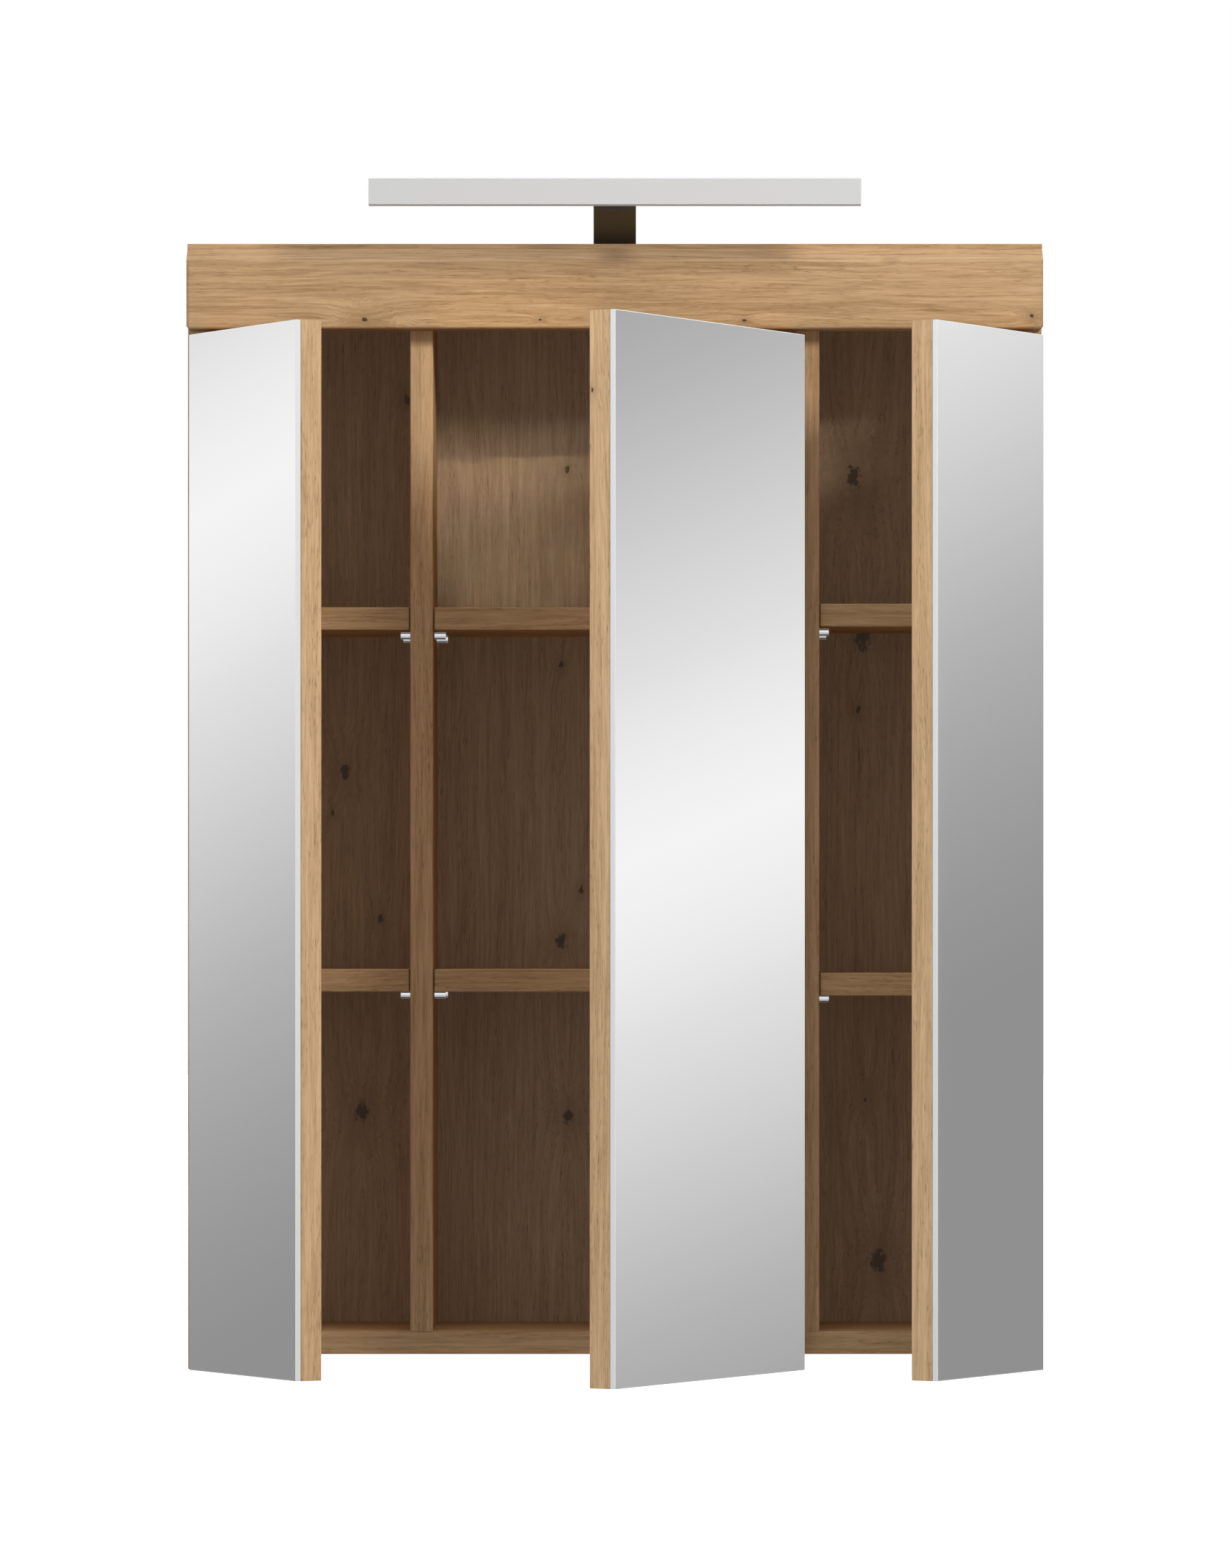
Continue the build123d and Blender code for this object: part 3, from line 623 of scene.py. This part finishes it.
@dataclass(frozen=True)
class PhotoView:
    """The photograph's frame and the camera that took it."""

    frame_width: float = 1708.0
    frame_height: float = 2173.0
    focal_pixels: float = 10892.0
    axis_column: float = 852.3
    axis_row: float = 1282.0
    eye: Point = (0.0, -5.672, -0.470)
    sensor: float = 36.0
    clip_end: float = 100.0

    def build(self) -> bpy.types.Object:
        """Make the camera, level and looking straight at the wall.

        Returns:
            The camera object.
        """
        data = bpy.data.cameras.new("photo_camera")
        data.sensor_width = self.sensor
        data.lens = self.sensor * self.focal_pixels / self.frame_height
        data.shift_x = (self.frame_width / 2 - self.axis_column) / self.frame_height
        data.shift_y = (self.axis_row - self.frame_height / 2) / self.frame_height
        data.clip_end = self.clip_end
        camera = bpy.data.objects.new("photo_camera", data)
        camera.location = self.eye
        camera.rotation_euler = (math.pi / 2, 0.0, 0.0)
        bpy.context.scene.collection.objects.link(camera)
        bpy.context.scene.camera = camera
        LOG.info("camera %.1f mm", data.lens)
        return camera


VIEW = PhotoView()
DOOR_OPENING = 60.0
BACK_PANEL_Y = -0.012
CORNICE_Y = -0.172


def board_knots(plane_y: float, marks: tuple[tuple[float, float, float, float], ...]
                ) -> tuple[Knot, ...]:
    """Place the knots of one board.

    Args:
        plane_y: The board's face in the part's frame.
        marks: For each knot, its column and row in the photograph, and the radii of its heart
            and halo in millimetres.

    Returns:
        The knots.
    """
    return tuple(Knot(as_seen(VIEW, column, row, plane_y), heart / 1000, halo / 1000)
                 for column, row, heart, halo in marks)


BACK_KNOTS = board_knots(BACK_PANEL_Y, (
    (565, 554, 2.4, 12), (478, 1070, 3.4, 20), (462, 1127, 1.6, 8), (527, 1273, 2.0, 10),
    (502, 1541, 4.6, 22), (787, 649, 1.8, 9), (778, 921, 1.6, 9), (806, 1233, 1.6, 8),
    (778, 1305, 3.6, 14), (788, 1546, 3.4, 18), (1184, 661, 4.8, 28), (1196, 884, 5.2, 15),
    (1190, 983, 1.6, 9), (1217, 1747, 5.2, 24), (1199, 1524, 1.0, 14)))
CORNICE_KNOTS = board_knots(CORNICE_Y, (
    (505.5, 442.5, 1.4, 14), (749, 443, 0.9, 5), (1032, 444, 0.9, 6), (1235, 357, 0.7, 6),
    (1431, 438, 1.4, 8)))
MIDDLE_DOOR_KNOTS = (Knot((-0.0154, -0.3827, -0.110), 0.0012, 0.005),)


@dataclass
class Carcass:
    """The oak box: sides, dividers, panels, shelves, cornice and the fittings that join them."""

    upright: OakFinish = OakFinish("oak_upright", Grain.UPRIGHT, 0.31)
    level: OakFinish = OakFinish("oak_level", Grain.LEVEL, 1.73)
    cornice: OakFinish = OakFinish("oak_cornice", Grain.LEVEL, 0.57, (0.615, 0.402, 0.222),
                                   (0.39, 0.235, 0.110), knots=CORNICE_KNOTS)
    # The back panel's oak is darker and greyer than the rest: partly its own duller tone, partly
    # painted shade of the deep interior
    back: OakFinish = OakFinish("oak_back", Grain.UPRIGHT, 2.90, (0.45, 0.330, 0.220),
                                (0.30, 0.203, 0.123), (0.14, 0.083, 0.040), 0.9,
                                knots=BACK_KNOTS)
    pin_chrome: SkinFinish = SkinFinish("pin_chrome", (0.88, 0.88, 0.89), 0.10, 1.0, 0.08)
    cam_zinc: SkinFinish = SkinFinish("cam_zinc", (0.52, 0.53, 0.54), 0.42, 1.0)
    screw_steel: SkinFinish = SkinFinish("screw_steel", (0.62, 0.62, 0.60), 0.30, 1.0)
    peg_beech: OakFinish = OakFinish("peg_beech", Grain.LEVEL, 4.4, (0.70, 0.50, 0.30),
                                     (0.58, 0.39, 0.22), (0.42, 0.27, 0.14), 0.7)
    hanger_zinc: SkinFinish = SkinFinish("hanger_zinc", (0.68, 0.69, 0.70), 0.34, 1.0, 0.2)

    def dress_all(self) -> None:
        """Put every finish on its nodes."""
        upright, level = self.upright.make(), self.level.make()
        for side in ("left", "right"):
            for node in (f"{side}_side_panel", f"{side}_divider"):
                dress(node, upright)
        for node in ("top_panel", "bottom_panel"):
            dress(node, level)
        dress("cornice_board", self.cornice.make())
        dress("back_panel", self.back.make())
        chrome = self.pin_chrome.make()
        for column in COLUMNS:
            for height in ("lower", "upper"):
                dress(f"{column}_{height}_shelf", level)
            dress(f"{column}_shelf_pins", chrome)
        dress("cam_locks", self.cam_zinc.make())
        steel = self.screw_steel.make()
        for node in ("cam_bolts", "divider_screws", "hanger_screws", "hinge_plate_screws",
                     "lamp_screws"):
            dress(node, steel)
        for column in COLUMNS:
            dress(f"{column}_cup_screws", steel)
        beech = self.peg_beech.make()
        dress("wood_dowels", beech)
        dress("cornice_dowels", beech)
        dress("hanger_plates", self.hanger_zinc.make())


@dataclass
class MirrorDoor:
    """One door with its mirror, and the concealed hinges that carry it."""

    column: str
    side: Side
    seed: float
    knots: tuple[Knot, ...] = ()
    oak_light: Colour = (0.78, 0.53, 0.305)
    oak_dark: Colour = (0.53, 0.335, 0.172)
    nickel: SkinFinish = SkinFinish("hinge_nickel", (0.66, 0.65, 0.62), 0.24, 1.0, 0.16)
    tape: SkinFinish = SkinFinish("tape_foam", (0.03, 0.03, 0.03), 0.85)

    def dress_all(self) -> None:
        """Put every finish on this door's nodes."""
        oak = OakFinish(f"oak_{self.column}_door", Grain.UPRIGHT, self.seed, self.oak_light,
                        self.oak_dark, knots=self.knots)
        dress(f"{self.column}_door_panel", oak.make())
        turn = math.radians(DOOR_OPENING)
        facing = Vector((self.side.value * math.sin(turn), -math.cos(turn), 0.0))
        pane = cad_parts[f"{self.column}_mirror"].data
        face_at = max(vertex.co.dot(facing) for vertex in pane.vertices)
        mirror = MirrorFinish(f"{self.column}_mirror_glass", tuple(facing), face_at)
        dress(f"{self.column}_mirror", mirror.make())
        dress(f"{self.column}_mirror_tape", self.tape.make())
        nickel = self.nickel.make()
        for part in ("cups", "links", "arms", "plates"):
            dress(f"{self.column}_hinge_{part}", nickel)


@dataclass
class BarLamp:
    """The bar lamp above the cornice, on its neck."""

    shell: SkinFinish = SkinFinish("lamp_shell", (0.67, 0.67, 0.672), 0.42, 0.0, 0.1, 0.02,
                                   (900.0, 900.0, 900.0))
    bar: SkinFinish = SkinFinish("lamp_bar_white", (0.90, 0.90, 0.90), 0.40, 0.0, 0.1, 0.02)
    opal: SkinFinish = SkinFinish("opal_plastic", (0.90, 0.90, 0.88), 0.50, 0.0, 0.05, 0.02)
    led_board: SkinFinish = SkinFinish("led_board", (0.82, 0.83, 0.74), 0.45)
    # The neck's darkening towards its foot is painted shade
    dark_chrome: SkinFinish = SkinFinish("dark_chrome", (0.080, 0.050, 0.022), 0.22, 0.9, 0.1,
                                         0.30, (60.0, 60.0, 500.0), painted_shade_below=(0.004, 0.029))
    black: SkinFinish = SkinFinish("black_plastic", (0.012, 0.009, 0.006), 0.45)

    def dress_all(self) -> None:
        """Put every finish on the lamp's nodes."""
        shell = self.shell.make()
        dress("lamp_housing", shell)
        dress("lamp_end_caps", shell)
        dress("lamp_arm", self.bar.make())
        dress("lamp_diffuser", self.opal.make())
        dress("led_strip", self.led_board.make())
        dress("lamp_neck", self.dark_chrome.make())
        black = self.black.make()
        dress("lamp_collar", black)
        dress("lamp_cable_gland", black)


def flat_sheet(name: str, corner: Vector, along: Vector, up: Vector) -> bpy.types.Object:
    """Make a flat sheet, placed in its mesh.

    Args:
        name: The sheet's name.
        corner: One corner.
        along: The side from that corner along the sheet.
        up: The side from that corner up the sheet.

    Returns:
        The sheet object.
    """
    shape = bmesh.new()
    bmesh.ops.create_grid(shape, x_segments=1, y_segments=1, size=0.5)
    bmesh.ops.translate(shape, verts=shape.verts, vec=(0.5, 0.5, 0.0))
    to_place = Matrix((along, up, along.cross(up).normalized())).transposed().to_4x4()
    to_place.translation = corner
    bmesh.ops.transform(shape, matrix=to_place, verts=shape.verts)
    mesh = bpy.data.meshes.new(name)
    shape.to_mesh(mesh)
    shape.free()
    sheet = bpy.data.objects.new(name, mesh)
    bpy.context.scene.collection.objects.link(sheet)
    return sheet


@dataclass(frozen=True)
class GradientCard:
    """A large card out of view whose soft band of light the open mirrors show.

    Its height runs up the wall and its breadth across the reflected rays.
    """

    name: str
    side: Side
    breadth: tuple[float, float]
    band_height: float
    band_at: float
    band_tilt: float
    distance: float = 12.0
    reach: float = 4.0
    fade: float = 1.90
    tones: tuple[tuple[float, float], ...] = ((0.0, 0.99), (0.22, 0.82), (0.57, 0.45),
                                              (1.0, 0.265))

    def build(self) -> bpy.types.Object:
        """Make the card and its light.

        Returns:
            The card object.
        """
        turn = math.radians(DOOR_OPENING)
        sign = self.side.value
        outward = Vector((sign * math.sin(turn), math.cos(turn), 0.0))
        across = Vector((-sign * math.cos(turn), math.sin(turn), 0.0))
        low, high = self.breadth
        corner = outward * self.distance + across * low - Vector((0, 0, self.reach))
        card = flat_sheet(self.name, corner, across * (high - low),
                          Vector((0, 0, 2 * self.reach)))
        material = bpy.data.materials.new(self.name)
        material.use_nodes = True
        tree = material.node_tree
        tree.nodes.clear()
        spot = object_place(tree)
        breadth = vectors(tree, "DOT_PRODUCT", spot, tuple(across), result="Value")
        height = place(tree, "ShaderNodeSeparateXYZ", {0: spot}).outputs[2]
        lean = maths(tree, "MULTIPLY", maths(tree, "SUBTRACT", breadth, self.band_at),
                     self.band_tilt)
        middle = maths(tree, "ADD", lean, self.band_height)
        away = maths(tree, "ABSOLUTE", maths(tree, "SUBTRACT", height, middle))
        ramp = place(tree, "ShaderNodeValToRGB",
                     {0: maths(tree, "DIVIDE", away, self.fade, clamp=True)})
        ramp.color_ramp.interpolation = "B_SPLINE"
        stops = ramp.color_ramp.elements
        while len(stops) < len(self.tones):
            stops.new(0.5)
        for stop, (position, tone) in zip(stops, self.tones):
            stop.position = position
            stop.color = (tone, tone, tone, 1.0)
        glow = place(tree, "ShaderNodeEmission", {"Color": ramp.outputs[0]})
        close = place(tree, "ShaderNodeOutputMaterial")
        tree.links.new(glow.outputs[0], close.inputs[0])
        card.data.materials.append(material)
        card.visible_camera = card.visible_diffuse = card.visible_shadow = False
        card.visible_transmission = False
        return card


@dataclass(frozen=True)
class Softbox:
    """A rectangular light that faces a point of the cabinet.

    Its turn is in degrees to the right of straight ahead, its rise in degrees above level, its
    power in watts and its size in metres. A small spread, in degrees, makes it a beam.
    """

    name: str
    turn: float
    rise: float
    power: float
    size: tuple[float, float]
    colour: Colour
    aim: Point = (0.0, -0.2, -0.35)
    distance: float = 3.0
    spread: float = 180.0

    def build(self) -> bpy.types.Object:
        """Hang the light.

        Returns:
            The light object.
        """
        data = bpy.data.lights.new(self.name, "AREA")
        data.shape = "RECTANGLE"
        data.energy, data.color = self.power, self.colour
        data.size, data.size_y = self.size
        data.spread = math.radians(self.spread)
        light = bpy.data.objects.new(self.name, data)
        across, up = math.radians(self.turn), math.radians(self.rise)
        towards = Vector((math.sin(across) * math.cos(up), -math.cos(across) * math.cos(up),
                          math.sin(up)))
        light.location = Vector(self.aim) + towards * self.distance
        light.rotation_euler = towards.to_track_quat("Z", "Y").to_euler()
        light.visible_glossy = False
        bpy.context.scene.collection.objects.link(light)
        LOG.info("light %s", self.name)
        return light


@dataclass
class Studio:
    """The pale floor, the lights and the cards around the cabinet.

    The last light is a narrow beam under the cornice, on the middle column's back panel.
    """

    lights: tuple[Softbox, ...] = (
        Softbox("key_softbox", 35.0, 26.0, 47.0, (0.6, 0.6), (1.0, 0.985, 0.96)),
        Softbox("fill_softbox", -60.0, 15.0, 23.0, (1.6, 1.6), (0.93, 0.96, 1.0)),
        Softbox("top_softbox", 0.0, 76.0, 19.0, (1.2, 1.2), (1.0, 0.99, 0.97)),
        Softbox("panel_beam", 0.0, 27.0, 0.015, (0.11, 0.14), (1.0, 0.89, 0.68),
                (-0.072, -0.012, -0.192), 1.5, 2.5))
    cards: tuple[GradientCard, ...] = (
        GradientCard("left_card", Side.LEFT, (-4.0, 4.0), 0.535, 0.1413, -0.575),
        GradientCard("middle_card", Side.RIGHT, (-4.0, 0.105), -0.333, -0.318, 0.398),
        GradientCard("right_card", Side.RIGHT, (0.105, 4.0), 1.223, 0.1457, 0.508))
    floor_z: float = -1.15
    floor_reach: float = 30.0
    floor_tone: float = 0.85
    floor_roughness: float = 0.9
    floor_glow: float = 0.9
    ambient: float = 0.44
    ambient_below: float = 0.20
    ambient_range: tuple[float, float] = (-0.7, 0.2)
    sky_range: tuple[float, float] = (-0.35, 0.35)
    sky_tones: tuple[float, float] = (0.58, 0.97)
    dark_range: tuple[float, float] = (0.88, 0.97)
    dark_tone: float = 0.06

    def build_floor(self) -> None:
        """Lay the plain pale floor."""
        reach = self.floor_reach
        floor = flat_sheet("pale_floor", Vector((-reach, -reach, self.floor_z)),
                           Vector((2 * reach, 0, 0)), Vector((0, 2 * reach, 0)))
        material, _, shader = new_material("pale_floor")
        shader.inputs["Base Color"].default_value = (*(self.floor_tone,) * 3, 1.0)
        shader.inputs["Roughness"].default_value = self.floor_roughness
        shader.inputs["Emission Color"].default_value = WHITE
        shader.inputs["Emission Strength"].default_value = self.floor_glow
        floor.data.materials.append(material)
        floor.visible_diffuse = floor.visible_glossy = False

    def build_world(self) -> None:
        """Surround the cabinet with soft light, white where the camera looks past it."""
        world = bpy.data.worlds.new("studio")
        world.use_nodes = True
        bpy.context.scene.world = world
        tree = world.node_tree
        tree.nodes.clear()
        paths = place(tree, "ShaderNodeLightPath").outputs
        facing = place(tree, "ShaderNodeTexCoord").outputs["Generated"]
        height = place(tree, "ShaderNodeSeparateXYZ", {0: facing}).outputs[2]
        off_level = maths(tree, "ABSOLUTE", height)
        sky = remap(tree, height, *self.sky_range, *self.sky_tones)
        shade = maths(tree, "MULTIPLY", sky,
                      remap(tree, off_level, *self.dark_range, 1.0, self.dark_tone))
        grey = place(tree, "ShaderNodeCombineColor", {0: shade, 1: shade, 2: shade})
        glossy = place(tree, "ShaderNodeBackground", {"Color": grey.outputs[0]})
        strength = remap(tree, height, *self.ambient_range, self.ambient_below, self.ambient)
        soft = place(tree, "ShaderNodeBackground", {"Color": WHITE, "Strength": strength})
        white = place(tree, "ShaderNodeBackground", {"Color": WHITE})
        first = place(tree, "ShaderNodeMixShader",
                      {0: paths["Is Glossy Ray"], 1: soft.outputs[0], 2: glossy.outputs[0]})
        second = place(tree, "ShaderNodeMixShader",
                       {0: paths["Is Camera Ray"], 1: first.outputs[0], 2: white.outputs[0]})
        close = place(tree, "ShaderNodeOutputWorld")
        tree.links.new(second.outputs[0], close.inputs[0])

    def build(self) -> None:
        """Set up the whole studio."""
        self.build_floor()
        self.build_world()
        for item in (*self.lights, *self.cards):
            item.build()
        scene = bpy.context.scene
        scene.view_settings.view_transform = "Standard"
        scene.view_settings.look = "None"


def main() -> None:
    """Build the camera, the studio and every finish."""
    logging.basicConfig(level=logging.INFO, format="%(name)s: %(message)s")
    VIEW.build()
    Studio().build()
    Carcass().dress_all()
    doors = (MirrorDoor("left", Side.LEFT, 3.1),
             MirrorDoor("middle", Side.RIGHT, 5.3, MIDDLE_DOOR_KNOTS),
             MirrorDoor("right", Side.RIGHT, 7.7))
    for door in doors:
        door.dress_all()
    BarLamp().dress_all()


if __name__ == "__main__":
    main()
